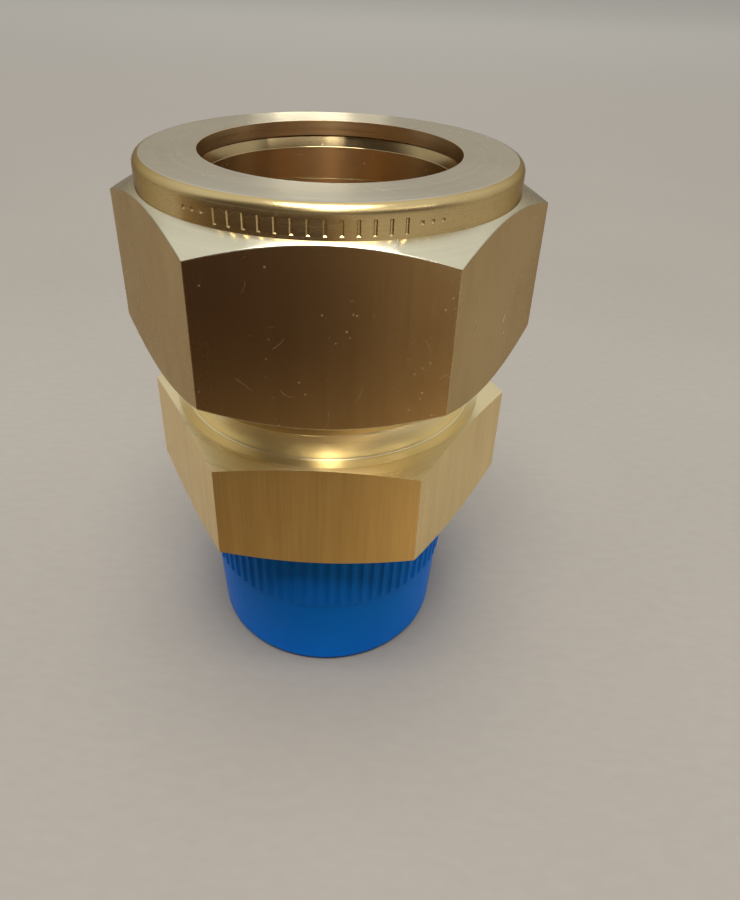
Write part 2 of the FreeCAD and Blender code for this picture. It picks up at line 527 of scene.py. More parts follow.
FERRULE = BrassFinish(
    "ferrule_turned",
    (0.78, 0.57, 0.30),
    (0.62, 0.43, 0.21),
    Grain.TURNED,
    0.24,
    0.85,
    0.3,
    line_depth=0.0006,
    line_strength=0.12,
    line_roughness=0.05,
    speck_share=0.08,
)
# Painted shade: the same ferrule brass, painted darker on the lead cone in each ring's mouth to dim its
# reflection inside the bore.
FERRULE_LEAD = replace(
    FERRULE,
    name="ferrule_lead",
    colour=(0.55, 0.42, 0.22),
    tone=(0.42, 0.31, 0.15),
    roughness=0.17,
    anisotropy=0.9,
)
CAP = PlasticFinish()


# Turned and milled shapes


@dataclass(frozen=True)
class Corner:
    """One corner of a turned outline, in millimetres, with the radius that rounds it."""

    radius: float
    height: float
    rounding: float = 0.0


ROUNDING_STEPS = 6


def rounded(outline: Sequence[Corner], closed: bool) -> list[Pair]:
    """Replace each rounded corner of an outline by points on its arc.

    Args:
        outline: the corners, in order.
        closed: whether the last corner joins the first.

    Returns:
        The outline's points, as (radius, height).
    """
    points: list[Pair] = []
    count = len(outline)
    for index, corner in enumerate(outline):
        at_end = not closed and index in (0, count - 1)
        here = Vector((corner.radius, corner.height))
        if corner.rounding <= 0.0 or at_end:
            points.append((here.x, here.y))
            continue
        before = outline[index - 1]
        after = outline[(index + 1) % count]
        back = (Vector((before.radius, before.height)) - here).normalized()
        ahead = (Vector((after.radius, after.height)) - here).normalized()
        half = back.angle(ahead) / 2.0
        centre = here + (back + ahead).normalized() * (corner.rounding / math.sin(half))
        start = here + back * (corner.rounding / math.tan(half)) - centre
        turn = start.angle_signed(here + ahead * (corner.rounding / math.tan(half)) - centre)
        for step in range(ROUNDING_STEPS + 1):
            arm = start.copy()
            arm.rotate(Matrix.Rotation(-turn * step / ROUNDING_STEPS, 2))
            points.append((centre.x + arm.x, centre.y + arm.y))
    return points


SECTORS = 6


def everything(form: Mesh) -> list[object]:
    """Return all of a mesh's geometry."""
    return form.verts[:] + form.edges[:] + form.faces[:]


def copies(form: Mesh, geometry: list[object]) -> list[Vert]:
    """Copy some of a mesh's geometry and return the vertices of the copy."""
    copied = bmesh.ops.duplicate(form, geom=geometry)["geom"]
    return [item for item in copied if isinstance(item, Vert)]


def set_radius(vert: Vert, radius: float) -> None:
    """Move a vertex to a new distance from the axis."""
    share = radius / math.hypot(vert.co.x, vert.co.y)
    vert.co.x *= share
    vert.co.y *= share


def standing(face: Face) -> tuple[float, float, float]:
    """Tell where a face stands.

    Args:
        face: the face.

    Returns:
        Its distance from the axis, its height, and how far its normal points outward, from -1 to 1.
    """
    centre = face.calc_center_median()
    radius = math.hypot(centre.x, centre.y)
    return radius, centre.z, (face.normal.x * centre.x + face.normal.y * centre.y) / radius


def absorb(form: Mesh, part: Mesh) -> None:
    """Add one mesh to another.

    Args:
        form: the mesh to add to.
        part: the mesh to add, which is freed.
    """
    mesh = bpy.data.meshes.new("part")
    part.to_mesh(mesh)
    part.free()
    form.from_mesh(mesh)
    bpy.data.meshes.remove(mesh)


def lathe(form: Mesh, outline: Sequence[Corner], steps: int, closed: bool = True) -> None:
    """Spin an outline a full turn about Z, as six equal sectors.

    Args:
        form: the mesh to add to.
        outline: the corners, in order.
        steps: how many faces go round, a multiple of six.
        closed: whether the last corner joins the first.
    """
    part = bmesh.new()
    verts = [part.verts.new((radius, 0.0, height)) for radius, height in rounded(outline, closed)]
    pairs = list(zip(verts, verts[1:]))
    if closed:
        pairs.append((verts[-1], verts[0]))
    edges = [part.edges.new(pair) for pair in pairs]
    sector_angle = math.tau / SECTORS
    bmesh.ops.spin(
        part,
        geom=verts + edges,
        cent=ORIGIN,
        axis=AXIS,
        angle=sector_angle,
        steps=steps // SECTORS,
    )
    sector = everything(part)
    for index in range(1, SECTORS):
        turn = Matrix.Rotation(sector_angle * index, 3, "Z")
        bmesh.ops.rotate(part, verts=copies(part, sector), cent=ORIGIN, matrix=turn)
    bmesh.ops.remove_doubles(part, verts=part.verts[:], dist=MERGE_DISTANCE)
    absorb(form, part)


def ring_edges(form: Mesh, height: float) -> list[Edge]:
    """Return the edges of an open rim at a height in millimetres."""
    return [
        edge
        for edge in form.edges
        if edge.is_boundary and all(abs(vert.co.z - height) < RIM_TOLERANCE for vert in edge.verts)
    ]


def bridge(form: Mesh, low: float, high: float) -> None:
    """Close the gap between two open rims, given by their heights in millimetres."""
    bmesh.ops.bridge_loops(form, edges=ring_edges(form, low) + ring_edges(form, high))


@dataclass(frozen=True)
class Thread:
    """A right-handed 60 degree thread, in millimetres."""

    pitch: float
    crest: float
    root: float
    rows: int = 3
    half_angle: float = 30.0

    def turns(
        self,
        form: Mesh,
        low: float,
        high: float,
        steps: int,
        shape: Callable[[float, float], float],
    ) -> None:
        """Add the thread's surface, open at both ends.

        Args:
            form: the mesh to add to.
            low: the height of the lower rim.
            high: the height of the upper rim.
            steps: faces in one turn.
            shape: gives the true radius for a radius and a height, for tapers and end chamfers.
        """
        part = bmesh.new()
        verts = [part.verts.new((radius, 0.0, low - self.pitch + rise)) for rise, radius in self._profile()]
        edges = [part.edges.new(pair) for pair in zip(verts, verts[1:])]
        bmesh.ops.spin(
            part,
            geom=verts + edges,
            cent=ORIGIN,
            axis=AXIS,
            dvec=(0.0, 0.0, self.pitch / steps),
            angle=math.tau,
            steps=steps,
        )
        one_turn = everything(part)
        for index in range(1, math.ceil((high - low) / self.pitch) + 2):
            bmesh.ops.translate(part, verts=copies(part, one_turn), vec=(0.0, 0.0, self.pitch * index))
        bmesh.ops.remove_doubles(part, verts=part.verts[:], dist=SPIN_TOLERANCE)
        for height, direction in ((low, -1.0), (high, 1.0)):
            bmesh.ops.bisect_plane(
                part,
                geom=everything(part),
                dist=MERGE_DISTANCE,
                plane_co=(0.0, 0.0, height),
                plane_no=(0.0, 0.0, direction),
                clear_outer=True,
            )
        rims = [vert for vert in part.verts if vert.is_boundary]
        bmesh.ops.remove_doubles(part, verts=rims, dist=4.0 * SPIN_TOLERANCE)
        for vert in part.verts:
            set_radius(vert, shape(math.hypot(vert.co.x, vert.co.y), vert.co.z))
        absorb(form, part)

    def _profile(self) -> list[Pair]:
        """Return one pitch of the thread as (rise, radius) points, from root to root."""
        crest_flat = self.pitch / 8.0
        flank = abs(self.crest - self.root) * math.tan(math.radians(self.half_angle))
        root_flat = self.pitch - crest_flat - 2.0 * flank
        points = [(0.0, self.root)]
        rise = root_flat / 2.0
        for start, end in ((self.root, self.crest), (self.crest, self.root)):
            for row in range(self.rows + 1):
                points.append((rise + flank * row / self.rows, start + (end - start) * row / self.rows))
            rise += flank + crest_flat
        points.append((self.pitch, self.root))
        return points


@dataclass(frozen=True)
class Hexagon:
    """The flats of a hexagon bar, in millimetres, with one flat facing -Y."""

    across_flats: float
    edge_break: float = 0.09
    least_angle: float = 10.0
    flat_corners: int = 20
    flat_slope: float = 0.02
    edge_slope: float = 0.35
    edge_share: float = 0.55

    def directions(self) -> list[Vector]:
        """Return the outward direction of each flat."""
        angles = [math.tau * side / SECTORS for side in range(SECTORS)]
        return [Vector((math.sin(angle), -math.cos(angle), 0.0)) for angle in angles]

    def mill(self, form: Mesh) -> None:
        """Cut the six flats into a turned shape and break their edges.

        Args:
            form: the turned mesh.
        """
        for direction in self.directions():
            cut = bmesh.ops.bisect_plane(
                form,
                geom=everything(form),
                dist=MERGE_DISTANCE,
                plane_co=direction * (self.across_flats / 2.0),
                plane_no=direction,
                clear_outer=True,
            )
            edges = [item for item in cut["geom_cut"] if isinstance(item, Edge)]
            bmesh.ops.contextual_create(form, geom=[edge for edge in edges if edge.is_boundary])
        bmesh.ops.remove_doubles(form, verts=form.verts[:], dist=MERGE_DISTANCE)
        form.normal_update()
        edges = [edge for edge in form.edges if any(self.is_flat(face) for face in edge.link_faces)]
        least = math.radians(self.least_angle)
        edges = [edge for edge in edges if edge.is_manifold and edge.calc_face_angle() > least]
        bmesh.ops.bevel(
            form,
            geom=edges,
            offset=self.edge_break,
            offset_type="OFFSET",
            segments=2,
            profile=0.5,
            affect="EDGES",
            material=-1,
            clamp_overlap=False,
        )

    def is_flat(self, face: Face) -> bool:
        """Return whether a face is one of the flats."""
        if len(face.verts) < self.flat_corners or abs(face.normal.z) > self.flat_slope:
            return False
        return abs(face.verts[0].co.dot(face.normal) - self.across_flats / 2.0) < NEAR

    def is_upright_edge(self, face: Face) -> bool:
        """Return whether a face is part of the broken edge between two flats."""
        reach = self.across_flats * self.edge_share
        return abs(face.normal.z) < self.edge_slope and standing(face)[0] > reach


SHARP_ANGLE = math.radians(32.0)

Finish = Union[BrassFinish, PlasticFinish]


def finished(
    name: str,
    form: Mesh,
    finishes: Sequence[Finish],
    choose: Callable[[Face], Finish],
    turned: float = 0.0,
) -> bpy.types.Object:
    """Turn a mesh in millimetres into a dressed object in metres.

    Args:
        name: the piece's name.
        form: the mesh, which is freed.
        finishes: its finishes.
        choose: gives each face its finish.
        turned: how far the piece is turned about Z, in degrees.

    Returns:
        The object, at the origin.
    """
    bmesh.ops.recalc_face_normals(form, faces=form.faces[:])
    form.normal_update()
    for face in form.faces:
        face.smooth = True
        face.material_index = finishes.index(choose(face))
    for edge in form.edges:
        edge.smooth = not (edge.is_manifold and edge.calc_face_angle(0.0) > SHARP_ANGLE)
    turn = Matrix.Rotation(math.radians(turned), 3, "Z")
    bmesh.ops.rotate(form, verts=form.verts[:], cent=ORIGIN, matrix=turn)
    bmesh.ops.scale(form, verts=form.verts[:], vec=(MM, MM, MM))
    mesh = bpy.data.meshes.new(name)
    form.to_mesh(mesh)
    form.free()
    for finish in finishes:
        mesh.materials.append(finish.material())
    piece = bpy.data.objects.new(name, mesh)
    bpy.context.scene.collection.objects.link(piece)
    weighted = piece.modifiers.new("weighted normals", "WEIGHTED_NORMAL")
    weighted.keep_sharp = True
    return piece


def hand_over(piece: bpy.types.Object, body: str, slot: str, *nodes: str) -> None:
    """Put a finished piece in the frame.

    Args:
        piece: the piece.
        body: the body that it rides on.
        slot: not used.
        nodes: the nodes that it replaces.
    """
    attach(piece, body)
    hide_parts(*nodes)
    piece.data.calc_loop_triangles()
    log.info("%s: %d triangles on %s", piece.name, len(piece.data.loop_triangles), body)


# Sub-assemblies


@dataclass
class TubeNut:
    """The hexagon nut with its round collar. Sizes are in millimetres."""

    steps: int = 360
    across_flats: float = 38.1
    turned: float = 2.05
    bore_radius: float = 12.80
    land: float = 1.27
    land_lip: float = 0.28
    chamber_radius: float = 15.5
    thread: Thread = Thread(1.27, 16.0, 16.72)
    thread_depth: float = 11.0
    mouth_chamfer: float = 0.6
    collar_radius: float = 18.71
    collar_height: float = 2.88
    collar_rounding: float = 0.85
    bore_break: float = 0.02
    top_angle: float = 29.3
    under_setback: float = 0.75
    under_angle: float = 32.4
    under_rounding: float = 0.12
    overrun: float = 1.0
    rim_gap: float = 0.02
    face_slope: float = 0.985
    face_depth: float = 0.05
    wall_slope: float = 0.1
    bore_margin: float = 0.005
    mark_low: float = 0.33
    mark_rows: int = 4
    mark_row_height: float = 0.34
    mark_depth: float = 0.09
    mark_slope: float = 0.10
    tick_columns: range = range(-28, 21, 4)
    dot_columns: tuple[int, ...] = (-38, -35, -32, 24, 27, 30)
    dot_row: int = 2

    def __post_init__(self) -> None:
        """Read the nut's ends from the frame and work out the heights between them."""
        low, high = millimetres("tube_nut")
        self.under = low.z
        self.top = high.z
        self.shoulder = self.top - self.land
        self.chamber_top = self.shoulder - (self.chamber_radius - self.bore_radius)
        self.thread_top = self.under + self.thread_depth
        self.collar_foot = self.top - self.collar_height
        self.hexagon = Hexagon(self.across_flats)

    def outline(self) -> list[Corner]:
        """Return the outline from the chamber's foot round to the thread's mouth."""
        rim = self.across_flats / math.sqrt(3.0) + self.overrun
        top_drop = (rim - self.collar_radius) * math.tan(math.radians(self.top_angle))
        under_radius = self.across_flats / 2.0 - self.under_setback
        under_rise = (rim - under_radius) * math.tan(math.radians(self.under_angle))
        marks = [
            Corner(self.collar_radius, self.collar_foot + self.mark_low + self.mark_row_height * row)
            for row in reversed(range(self.mark_rows + 1))
        ]
        return [
            Corner(self.chamber_radius, self.thread_top),
            Corner(self.chamber_radius, self.chamber_top),
            Corner(self.bore_radius + self.land_lip, self.shoulder - self.land_lip),
            Corner(self.bore_radius, self.shoulder - self.land_lip),
            Corner(self.bore_radius, self.top, self.bore_break),
            Corner(self.collar_radius, self.top, self.collar_rounding),
            *marks,
            Corner(self.collar_radius, self.collar_foot),
            Corner(rim, self.collar_foot - top_drop),
            Corner(rim, self.under + under_rise),
            Corner(under_radius, self.under, self.under_rounding),
            Corner(self.thread.root + self.mouth_chamfer, self.under),
        ]

    def thread_radius(self, radius: float, height: float) -> float:
        """Return the thread's radius with the mouth chamfered."""
        return max(radius, self.thread.root + self.mouth_chamfer - (height - self.under))

    def stamp(self, form: Mesh) -> None:
        """Press plain ticks and dots into the front of the collar.

        Args:
            form: the nut's mesh.
        """
        pressed = []
        for face in form.faces:
            radius, height, _ = standing(face)
            on_wall = abs(radius - self.collar_radius) < NEAR and abs(face.normal.z) < self.wall_slope
            row = math.floor((height - self.collar_foot - self.mark_low) / self.mark_row_height)
            if on_wall and 0 <= row < self.mark_rows and self.marked(face, row):
                pressed.append(face)
        bmesh.ops.inset_region(
            form,
            faces=pressed,
            thickness=self.mark_slope,
            depth=-self.mark_depth,
            use_even_offset=True,
        )

    def marked(self, face: Face, row: int) -> bool:
        """Decide where the collar is stamped.

        Args:
            face: a face of the collar's wall.
            row: its row, counted from below.

        Returns:
            Whether it is pressed in.
        """
        centre = face.calc_center_median()
        column = math.floor(math.degrees(math.atan2(centre.x, -centre.y)))
        return column in self.tick_columns or (column in self.dot_columns and row == self.dot_row)

    def choose(self, face: Face) -> Finish:
        """Return a face's finish."""
        radius, height, outward = standing(face)
        if self.hexagon.is_flat(face):
            return NUT_FLAT
        if self.hexagon.is_upright_edge(face):
            return NUT_EDGE
        in_bore = outward < INWARD or radius < self.bore_radius + self.bore_break
        if in_bore and height < self.top - self.bore_margin:
            return NUT_BORE
        if face.normal.z > self.face_slope and height > self.top - self.face_depth:
            return NUT_FACE
        on_collar = height > self.collar_foot - NEAR and radius < self.collar_radius + NEAR
        return NUT_COLLAR if on_collar else NUT_CHAMFER

    def build(self) -> bpy.types.Object:
        """Model and dress the nut.

        Returns:
            The nut's object.
        """
        form = bmesh.new()
        lathe(form, self.outline(), self.steps, closed=False)
        self.hexagon.mill(form)
        self.stamp(form)
        thread_low = self.under + self.rim_gap
        thread_high = self.thread_top - self.rim_gap
        self.thread.turns(form, thread_low, thread_high, self.steps // 3, self.thread_radius)
        bridge(form, thread_low, self.under)
        bridge(form, thread_high, self.thread_top)
        finishes = (NUT_FLAT, NUT_CHAMFER, NUT_COLLAR, NUT_FACE, NUT_BORE, NUT_EDGE)
        return finished("compression_nut", form, finishes, self.choose, self.turned)


@dataclass
class ConnectorBody:
    """The hexagon body with both threads, the tube socket and the passage. Sizes are in millimetres."""

    steps: int = 360
    across_flats: float = 34.925
    hex_height: float = 12.25
    top_setback: float = 0.41
    top_angle: float = 13.5
    under_setback: float = 0.46
    under_angle: float = 20.0
    neck_radius: float = 15.8
    neck_length: float = 2.75
    thread: Thread = Thread(1.27, 16.669, 15.89)
    thread_start: float = 0.6
    thread_end_chamfer: float = 0.7
    pipe_thread: Thread = Thread(1.814, 13.015, 11.63)
    pipe_taper: float = 1.0 / 32.0
    pipe_end_chamfer: float = 1.0
    pipe_length: float = 18.95
    passage_radius: float = 7.87
    passage_break: float = 0.6
    socket_radius: float = 12.78
    socket_depth: float = 19.1
    mouth_radius: float = 14.3
    mouth_angle: float = 20.0
    overrun: float = 1.0
    neck_fillet: float = 0.25
    hex_rounding: float = 0.1
    socket_rounding: float = 0.2
    rim_gap: float = 0.01

    def __post_init__(self) -> None:
        """Read the body's ends from the frame and work out the heights between them."""
        low, high = millimetres("connector_body")
        self.pipe_end = low.z
        self.top = high.z
        self.hex_under = self.pipe_end + self.pipe_length
        self.hex_top = self.hex_under + self.hex_height
        self.neck_top = self.hex_top + self.neck_length
        self.hexagon = Hexagon(self.across_flats)

    def middle_outline(self) -> list[Corner]:
        """Return the outline from the pipe thread's upper end round the hexagon to the neck's top."""
        rim = self.across_flats / math.sqrt(3.0) + self.overrun
        shank = self.pipe_thread.crest + self.pipe_length * self.pipe_taper
        under_radius = self.across_flats / 2.0 - self.under_setback
        top_radius = self.across_flats / 2.0 - self.top_setback
        return [
            Corner(shank, self.hex_under - self.rim_gap),
            Corner(shank, self.hex_under),
            Corner(under_radius, self.hex_under, self.hex_rounding),
            Corner(rim, self.hex_under + (rim - under_radius) * math.tan(math.radians(self.under_angle))),
            Corner(rim, self.hex_top - (rim - top_radius) * math.tan(math.radians(self.top_angle))),
            Corner(top_radius, self.hex_top, self.hex_rounding),
            Corner(self.neck_radius, self.hex_top, self.neck_fillet),
            Corner(self.neck_radius, self.neck_top - self.rim_gap),
        ]

    def bore_outline(self) -> list[Corner]:
        """Return the outline of the mouth, the tube socket and the passage, from above."""
        mouth_depth = (self.mouth_radius - self.socket_radius) / math.tan(math.radians(self.mouth_angle))
        shoulder = self.top - self.socket_depth
        return [
            Corner(self.mouth_radius, self.top),
            Corner(self.socket_radius, self.top - mouth_depth),
            Corner(self.socket_radius, shoulder),
            Corner(self.passage_radius, shoulder, self.socket_rounding),
            Corner(self.passage_radius, self.pipe_end + self.passage_break),
            Corner(self.passage_radius + self.passage_break, self.pipe_end),
        ]

    def compression_radius(self, radius: float, height: float) -> float:
        """Return the compression thread's radius, with its start and its end turned down."""
        start_rise = (self.thread.crest - self.neck_radius) / self.thread_start
        start = self.neck_radius + (height - self.neck_top) * start_rise
        end = self.thread.crest - self.thread_end_chamfer + (self.top - height)
        return min(radius, start, end)

    def pipe_radius(self, radius: float, height: float) -> float:
        """Return the taper pipe thread's radius, with its end chamfered."""
        tapered = radius + (height - self.pipe_end) * self.pipe_taper
        return min(tapered, self.pipe_thread.crest - self.pipe_end_chamfer + (height - self.pipe_end))

    def choose(self, face: Face) -> Finish:
        """Return a face's finish."""
        if self.hexagon.is_flat(face) or self.hexagon.is_upright_edge(face):
            return BODY_FLAT
        return BODY_BORE if standing(face)[2] < INWARD else BODY_TURNED

    def build(self) -> bpy.types.Object:
        """Model and dress the body.

        Returns:
            The body's object.
        """
        form = bmesh.new()
        lathe(form, self.middle_outline(), self.steps, closed=False)
        self.hexagon.mill(form)
        lathe(form, self.bore_outline(), self.steps // 2, closed=False)
        gap = self.rim_gap
        mouth = self.top - gap
        tip = self.pipe_end + gap
        shank = self.hex_under - gap
        self.thread.turns(form, self.neck_top, mouth, self.steps // 2, self.compression_radius)
        self.pipe_thread.turns(form, tip, shank - gap, self.steps // 3, self.pipe_radius)
        bridge(form, self.neck_top, self.neck_top - gap)
        bridge(form, mouth, self.top)
        bridge(form, self.pipe_end, tip)
        bridge(form, shank - gap, shank)
        return finished("body_with_threads", form, (BODY_FLAT, BODY_TURNED, BODY_BORE), self.choose)


@dataclass
class FerruleSet:
    """The two rings that grip the tube. Sizes are in millimetres."""

    steps: int = 240
    bore_radius: float = 12.78
    nose_radius: float = 13.10
    outer_radius: float = 15.2
    front_shoulder_rise: float = 5.77
    recess_radius: float = 14.2
    back_flange_foot: float = 1.53
    back_stem_radius: float = 14.0
    back_top_radius: float = 13.15
    lead_depth: float = 1.1
    lead_edge: float = 0.035
    edge_break: float = 0.08
    nose_break: float = 0.05
    nose_rounding: float = 0.1
    shoulder_rounding: float = 0.3
    stem_rounding: float = 0.15
    flange_rounding: float = 0.1
    top_break: float = 0.03
    lead_break: float = 0.02

    def front_outline(self) -> list[Corner]:
        """Return the outline of the front ferrule."""
        low, high = millimetres("front_ferrule")
        seat = high.z - (self.recess_radius - self.nose_radius)
        return [
            Corner(self.bore_radius, low.z, self.nose_break),
            Corner(self.nose_radius, low.z, self.nose_rounding),
            Corner(self.outer_radius, low.z + self.front_shoulder_rise, self.shoulder_rounding),
            Corner(self.outer_radius, high.z, self.edge_break),
            Corner(self.recess_radius, high.z, self.edge_break),
            Corner(self.nose_radius, seat),
            Corner(self.bore_radius, seat, self.lead_break),
        ]

    def back_outline(self) -> list[Corner]:
        """Return the outline of the back ferrule."""
        low, high = millimetres("back_ferrule")
        foot = low.z + self.back_flange_foot
        stem = self.back_stem_radius
        lead_foot = high.z - self.lead_depth
        return [
            Corner(self.bore_radius, low.z, self.nose_break),
            Corner(self.nose_radius, low.z, self.edge_break),
            Corner(stem, low.z + (stem - self.nose_radius), self.stem_rounding),
            Corner(stem, foot, self.flange_rounding),
            Corner(self.outer_radius, foot, self.edge_break),
            Corner(self.outer_radius, high.z - (self.outer_radius - self.back_top_radius), self.edge_break),
            Corner(self.back_top_radius, high.z, self.top_break),
            Corner(self.bore_radius + self.lead_edge, lead_foot, self.lead_break),
            Corner(self.bore_radius, lead_foot - self.lead_edge, self.top_break),
        ]

    def build(self, name: str, outline: Sequence[Corner]) -> bpy.types.Object:
        """Model and dress one ring.

        Args:
            name: the piece's name.
            outline: its outline.

        Returns:
            The ring's object.
        """
        form = bmesh.new()
        lathe(form, outline, self.steps)
        lead_low = max(corner.height for corner in outline) - self.lead_depth - self.lead_edge

        def choose(face: Face) -> Finish:
            """Return a face's finish, which differs for the lead cone in the ring's mouth."""
            _, height, outward = standing(face)
            return FERRULE_LEAD if outward < 0.0 and height > lead_low else FERRULE

        return finished(name, form, (FERRULE, FERRULE_LEAD), choose)


@dataclass
class ThreadCap:
    """The moulded cap with its upright grip ribs. Sizes are in millimetres."""

    ribs: int = 72
    columns: int = 8
    foot_radius: float = 13.69
    wall_slope: float = 0.0513
    foot_rounding: float = 0.8
    rib_height: float = 0.26
    rib_width: float = 0.5
    rib_foot: float = 10.0
    rib_fade: float = 0.35
    inner_foot: float = 13.09
    inner_slope: float = 1.0 / 32.0
    floor: float = 0.9
    floor_rounding: float = 0.4
    lip_rounding: float = 0.15
    lip_margin: float = 0.4
    wall_tolerance: float = 0.2
    rib_reach: float = 0.75
    rib_side: float = 0.5
    rows: int = 16

    def __post_init__(self) -> None:
        """Read the cap's lip from the frame."""
        self.lip = millimetres("thread_cap")[1].z

    def outline(self) -> list[Corner]:
        """Return the cap's outline from the middle of its underside to the middle of its floor."""
        foot = self.foot_radius
        wall = [self.rib_foot - self.rib_fade, self.rib_foot, self.rib_foot + self.rib_fade]
        ribbed = self.lip - self.lip_margin - self.rib_foot
        wall += [self.rib_foot + ribbed * (row + 1) / self.rows for row in range(self.rows)]
        return [
            Corner(0.0, 0.0),
            Corner(foot, 0.0, self.foot_rounding),
            *[Corner(foot + height * self.wall_slope, height) for height in wall],
            Corner(foot + self.lip * self.wall_slope, self.lip, self.lip_rounding),
            Corner(self.inner_foot + self.lip * self.inner_slope, self.lip, self.lip_rounding),
            Corner(self.inner_foot + self.floor * self.inner_slope, self.floor, self.floor_rounding),
            Corner(0.0, self.floor),
        ]

    def raise_ribs(self, form: Mesh) -> None:
        """Push the ribs out of the cap's wall.

        Args:
            form: the cap's mesh.
        """
        pitch = math.tau / self.ribs
        for vert in form.verts:
            radius = math.hypot(vert.co.x, vert.co.y)
            wall = self.foot_radius + vert.co.z * self.wall_slope
            if abs(radius - wall) > self.wall_tolerance or vert.co.z < self.rib_foot:
                continue
            angle = math.atan2(vert.co.x, -vert.co.y) % pitch
            offset = min(angle, pitch - angle) * radius
            side = (self.rib_reach - offset / self.rib_width) / self.rib_side
            side = min(1.0, max(0.0, side))
            foot = min(1.0, (vert.co.z - self.rib_foot) / self.rib_fade)
            rise = self.rib_height * math.sin(side * math.pi / 2.0) * math.sin(foot * math.pi / 2.0)
            set_radius(vert, radius + rise)

    def build(self) -> bpy.types.Object:
        """Model and dress the cap.

        Returns:
            The cap's object.
        """
        form = bmesh.new()
        lathe(form, self.outline(), self.ribs * self.columns, closed=False)
        self.raise_ribs(form)
        return finished("ribbed_cap", form, (CAP,), lambda face: CAP)


# Studio


@dataclass(frozen=True)
class Lamp:
    """A flat lamp, in metres and watts. It can be kept out of plain surfaces or out of reflections."""

    name: str
    power: float
    size: Pair
    place: Place
    target: Place = (0.0, 0.0, 0.03)
    colour: Colour = (1.0, 0.97, 0.92)
    on_surfaces: bool = True
    in_reflections: bool = True

    def hang(self) -> None:
        """Hang the lamp so that it faces its target."""
        data = bpy.data.lights.new(self.name, "AREA")
        data.shape = "RECTANGLE"
        data.size, data.size_y = self.size
        data.energy = self.power
        data.color = self.colour
        lamp = bpy.data.objects.new(self.name, data)
        lamp.location = self.place
        lamp.rotation_euler = (Vector(self.target) - Vector(self.place)).to_track_quat("-Z", "Y").to_euler()
        lamp.visible_diffuse = self.on_surfaces
        lamp.visible_glossy = self.in_reflections
        bpy.context.scene.collection.objects.link(lamp)


WINDOW_COLOUR = (1.0, 0.99, 0.86)

LAMPS = (
    Lamp("key", 1.3, (0.30, 0.30), (0.0, 0.12, 0.92), in_reflections=False),
    Lamp("fill", 6.4, (0.54, 0.44), (0.0, -0.30, 0.90)),
    Lamp("ceiling_strip", 3.6, (0.24, 0.80), (0.06, -0.86, 0.95), (0.06, -0.86, 0.0), on_surfaces=False),
    Lamp("far_window", 0.60, (0.30, 0.24), (-0.28, 3.0, 0.57), colour=WINDOW_COLOUR, on_surfaces=False),
    Lamp("far_glow", 0.42, (0.56, 0.24), (-0.26, 3.1, 0.56), colour=WINDOW_COLOUR, on_surfaces=False),
    Lamp("front_window", 2.7, (1.85, 0.22), (0.575, -1.0, 0.92), on_surfaces=False),
)


@dataclass(frozen=True)
class FloorShade:
    """Painted shade and painted reflection: a glowing sheet in front of the fitting, hidden from the camera,
    that stands in for the dim, shaded floor as the metal and the cap see it from just above the floor.

    It is darkest near the camera and brighter towards the right and the fitting. Sizes are in metres.
    """

    low: Pair = (-0.40, -0.42)
    high: Pair = (0.05, -0.018)
    height: float = 0.0008
    near_fade: Pair = (-0.110, -0.040)
    right_fade: Pair = (0.0, 0.035)
    left_fade: Pair = (0.012, -0.020)
    left_share: float = 0.35
    near_colour: Colour = (0.046, 0.022, 0.015)
    far_colour: Colour = (0.31, 0.215, 0.112)
    left_colour: Colour = (0.04, 0.02, 0.012)
    near_right_colour: Colour = (0.29, 0.20, 0.11)
    far_right_colour: Colour = (0.72, 0.51, 0.29)

    def material(self) -> bpy.types.Material:
        """Build the faint glow.

        Returns:
            A material that glows upward and is clear from below.
        """
        material, paint = new_material("painted_floor_shade")
        across, away, _ = paint.parts(paint.place())
        near = away.step(*self.near_fade)
        colour = paint.mix(near, self.near_colour, self.far_colour)
        colour = paint.mix(across.step(*self.left_fade) * self.left_share, colour, self.left_colour)
        right_colour = paint.mix(near, self.near_right_colour, self.far_right_colour)
        colour = paint.mix(across.step(*self.right_fade), colour, right_colour)
        # Painted shade: this glow, not a lamp, is what the metal reflects and the cap takes bounce light from
        # in front.
        glow = paint.node("ShaderNodeEmission", inputs={"Color": colour, "Strength": 1.0})
        clear = paint.node("ShaderNodeBsdfTransparent")
        from_below = paint.node("ShaderNodeNewGeometry", output="Backfacing")
        paint.show(paint.node("ShaderNodeMixShader", inputs={0: from_below, 1: glow, 2: clear}))
        return material

    def lay(self) -> None:
        """Lay the shade on the floor, out of the camera's sight."""
        shade = add_sheet("painted_floor_shade", self.low, self.high, self.height, self.material())
        shade.visible_camera = False
        shade.visible_shadow = False
        shade.visible_transmission = False


def add_sheet(
    name: str,
    low: Pair,
    high: Pair,
    height: float,
    material: bpy.types.Material,
) -> bpy.types.Object:
    """Add a level rectangle to the stage.

    Args:
        name: its name.
        low: its lowest x and y, in metres.
        high: its highest x and y, in metres.
        height: its height above the floor, in metres.
        material: its material.

    Returns:
        The rectangle's object.
    """
    form = bmesh.new()
    corners = [(low[0], low[1]), (high[0], low[1]), (high[0], high[1]), (low[0], high[1])]
    form.faces.new([form.verts.new((x, y, height)) for x, y in corners])
    mesh = bpy.data.meshes.new(name)
    form.to_mesh(mesh)
    form.free()
    mesh.materials.append(material)
    sheet = bpy.data.objects.new(name, mesh)
    bpy.context.scene.collection.objects.link(sheet)
    return sheet


